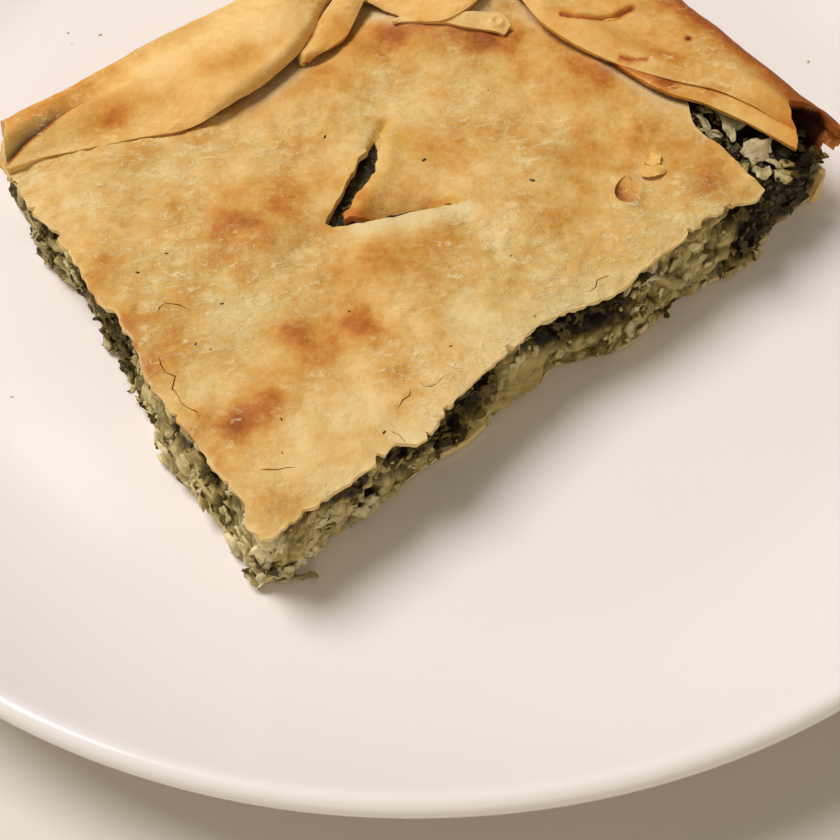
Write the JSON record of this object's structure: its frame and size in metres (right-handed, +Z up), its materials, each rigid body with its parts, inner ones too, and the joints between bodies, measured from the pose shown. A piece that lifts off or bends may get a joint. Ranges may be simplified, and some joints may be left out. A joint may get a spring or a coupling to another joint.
{
  "type": "plate of chard pie",
  "caption": "Corner piece of covered chard pie with folded dough edges and a slit in its top crust, lying on a round white coupe plate.",
  "frame": {"origin": "on the table, under the middle of the plate", "axes": "+Z up; +Y away from the picture's viewer and +X to the viewer's right"},
  "size_m": [0.27, 0.27, 0.0327],
  "materials": {
    "ceramic": "glossy off-white glaze",
    "lower_crust": "baked golden-brown dough",
    "filling": "moist chopped greens",
    "upper_crust": "baked pale golden dough"
  },
  "bodies": {
    "root": {"plate": "ceramic", "lower_crust": "lower_crust", "chard_filling": "filling", "upper_crust": "upper_crust"}
  },
  "joints": []
}
